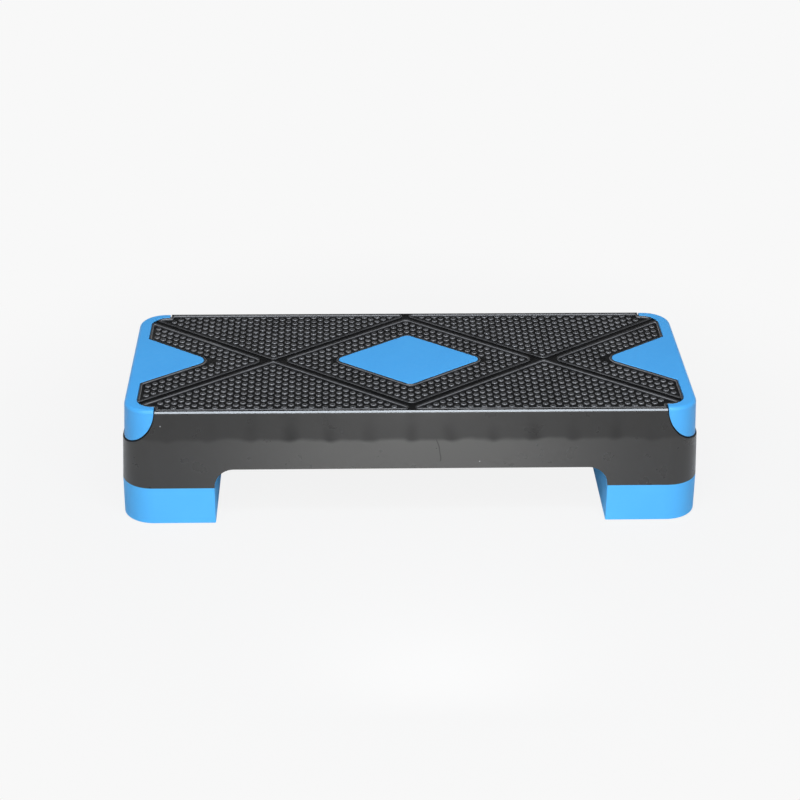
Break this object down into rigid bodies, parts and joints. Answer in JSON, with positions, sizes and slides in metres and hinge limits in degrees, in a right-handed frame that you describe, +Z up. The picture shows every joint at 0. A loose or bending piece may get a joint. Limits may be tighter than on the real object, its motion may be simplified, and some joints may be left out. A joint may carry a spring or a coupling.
{
  "type": "aerobic step platform",
  "caption": "Low aerobic step: a long moulded deck with a studded non-slip tread and blue end caps, standing on two pull-off risers that set its height.",
  "frame": {"origin": "centre of the step on the floor, under the middle of the deck", "axes": "+X along the length to the right as seen from the front, +Y from front to back, +Z up"},
  "size_m": [0.68, 0.28, 0.146],
  "materials": {
    "deck_plastic": "glossy black injection-moulded polypropylene",
    "tread_rubber": "satin black thermoplastic rubber",
    "trim_plastic": "satin sky-blue injection-moulded polypropylene",
    "riser_plastic": "satin sky-blue injection-moulded polypropylene",
    "screw_steel": "zinc-plated steel",
    "foot_rubber": "matte black rubber"
  },
  "bodies": {
    "deck": {"deck_shell": "deck_plastic", "deck_skirt_front": "deck_plastic", "deck_skirt_back": "deck_plastic", "deck_rib_grid": "deck_plastic", "tread_pad_center": "tread_rubber", "tread_pad_left_end": "tread_rubber", "tread_pad_right_end": "tread_rubber", "tread_pad_front_left": "tread_rubber", "tread_pad_front_right": "tread_rubber", "tread_pad_back_left": "tread_rubber", "tread_pad_back_right": "tread_rubber", "end_cap_left": "trim_plastic", "end_cap_right": "trim_plastic", "diamond_inlay": "trim_plastic", "end_cap_screws_left": "screw_steel", "end_cap_screws_right": "screw_steel", "inlay_screws": "screw_steel"},
    "left_riser": {"riser_left": "riser_plastic", "foot_pad_left_front_inner": "foot_rubber", "foot_pad_left_front_outer": "foot_rubber", "foot_pad_left_back_inner": "foot_rubber", "foot_pad_left_back_outer": "foot_rubber"},
    "right_riser": {"riser_right": "riser_plastic", "foot_pad_right_front_inner": "foot_rubber", "foot_pad_right_front_outer": "foot_rubber", "foot_pad_right_back_inner": "foot_rubber", "foot_pad_right_back_outer": "foot_rubber"}
  },
  "joints": [
    {"name": "left_riser_pull", "type": "slide", "parent": "deck", "child": "left_riser", "axis": [0, 0, -1], "range_m": [0, 0.06]},
    {"name": "right_riser_pull", "type": "slide", "parent": "deck", "child": "right_riser", "axis": [0, 0, -1], "range_m": [0, 0.06]}
  ]
}
